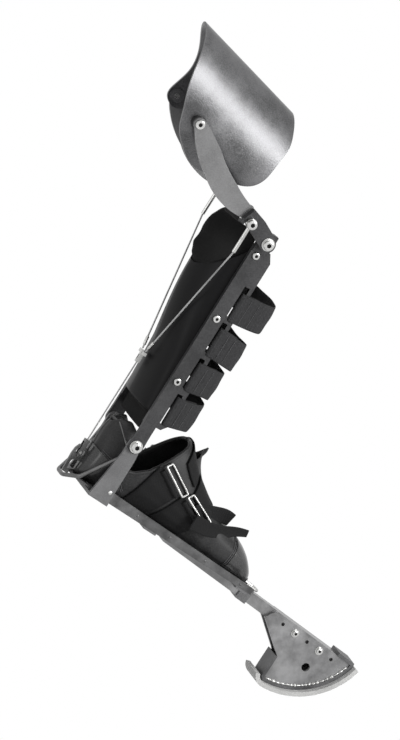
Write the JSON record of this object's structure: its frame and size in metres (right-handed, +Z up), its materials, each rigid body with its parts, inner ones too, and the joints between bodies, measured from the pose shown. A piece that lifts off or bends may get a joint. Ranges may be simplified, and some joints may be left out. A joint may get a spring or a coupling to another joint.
{
  "type": "leg extension brace with knee joint",
  "caption": "Knee, ankle and foot brace with a thigh cuff on side bars, a calf shell with straps, a tendon cable to the heel and a rocker foot on a bar.",
  "frame": {"origin": "knee hinge axis, in the middle between the two side bars", "axes": "+X towards the toes, +Y towards the inner side of the leg along the knee axis, +Z up; the brace is stored with the leg bent as in the picture"},
  "size_m": [0.4358, 0.1844, 1.0247],
  "materials": {
    "dark_plate": "satin",
    "grey_steel": "satin",
    "zinc_bolt": "polished",
    "bronze_bush": "satin",
    "moulded_shell": "satin",
    "cuff_shell": "grained",
    "liner_cloth": "matte",
    "webbing": "matte",
    "bright_steel": "polished",
    "wire_rope": "twisted",
    "boot_shell": "satin",
    "bar_alloy": "brushed",
    "rocker_steel": "raw",
    "tread_rubber": "matte"
  },
  "bodies": {
    "shin_frame": {"upright_near": "dark_plate", "upright_far": "dark_plate", "knee_head_near": "dark_plate", "knee_head_far": "dark_plate", "strap_plate_near": "dark_plate", "strap_plate_far": "dark_plate", "upright_bolts": "zinc_bolt", "upright_nuts": "zinc_bolt", "calf_shell": "moulded_shell", "calf_liner": "liner_cloth", "shin_strap_1": "webbing", "shin_strap_2": "webbing", "shin_strap_3": "webbing", "shin_strap_4": "webbing", "knee_pivot_bolts": "zinc_bolt", "knee_pivot_washers": "zinc_bolt", "knee_pivot_nuts": "zinc_bolt", "knee_bushes": "bronze_bush", "ankle_pivot_bolts": "zinc_bolt", "ankle_pivot_washers": "zinc_bolt", "ankle_pivot_nuts": "zinc_bolt", "ankle_bushes": "bronze_bush"},
    "thigh_link": {"thigh_bar_near": "grey_steel", "thigh_bar_far": "grey_steel", "lever_near": "dark_plate", "lever_far": "dark_plate", "tendon_pins": "zinc_bolt", "cuff_pivot_bolts": "zinc_bolt"},
    "thigh_cuff_set": {"thigh_cuff": "cuff_shell", "cuff_pivot_bosses": "bronze_bush"},
    "tendon": {"rod_end_near": "bright_steel", "rod_end_far": "bright_steel", "tendon_cable_near": "wire_rope", "tendon_cable_far": "wire_rope", "turnbuckle": "bright_steel", "tendon_rope": "wire_rope", "heel_clevis": "bright_steel", "heel_pin": "zinc_bolt"},
    "foot_frame": {"stirrup": "grey_steel", "foot_plate": "grey_steel", "foot_rail_near": "grey_steel", "foot_rail_far": "grey_steel", "rail_ties": "grey_steel", "heel_bail": "bright_steel", "heel_web": "grey_steel", "boot": "boot_shell", "instep_strap_1": "webbing", "instep_strap_2": "webbing", "extension_bar": "bar_alloy", "rocker_plate_near": "rocker_steel", "rocker_plate_far": "rocker_steel", "rocker_base": "rocker_steel", "rocker_tread": "tread_rubber", "rocker_bolts": "zinc_bolt", "rocker_nuts": "zinc_bolt", "toe_clamp": "grey_steel", "toe_loop": "bright_steel"}
  },
  "joints": [
    {"name": "knee_hinge", "type": "hinge", "parent": "shin_frame", "child": "thigh_link", "pos_m": [0, 0, 0], "axis": [0, 1, 0], "range_deg": [-10, 30]},
    {"name": "cuff_pivot", "type": "hinge", "parent": "thigh_link", "child": "thigh_cuff_set", "pos_m": [-0.09697, 0, 0.18627], "axis": [0, 1, 0], "range_deg": [-8, 8]},
    {"name": "ankle_hinge", "type": "hinge", "parent": "shin_frame", "child": "foot_frame", "pos_m": [-0.18957, 0, -0.29303], "axis": [0, 1, 0], "range_deg": [-7, 21]},
    {"name": "tendon_hinge", "type": "hinge", "parent": "thigh_link", "child": "tendon", "pos_m": [-0.02527, 0, 0.03479], "axis": [0, 1, 0], "range_deg": [-26, 9]}
  ],
  "couplings": [
    {"joint": "ankle_hinge", "follows": "knee_hinge", "ratio": 0.69},
    {"joint": "tendon_hinge", "follows": "knee_hinge", "ratio": -0.86}
  ]
}
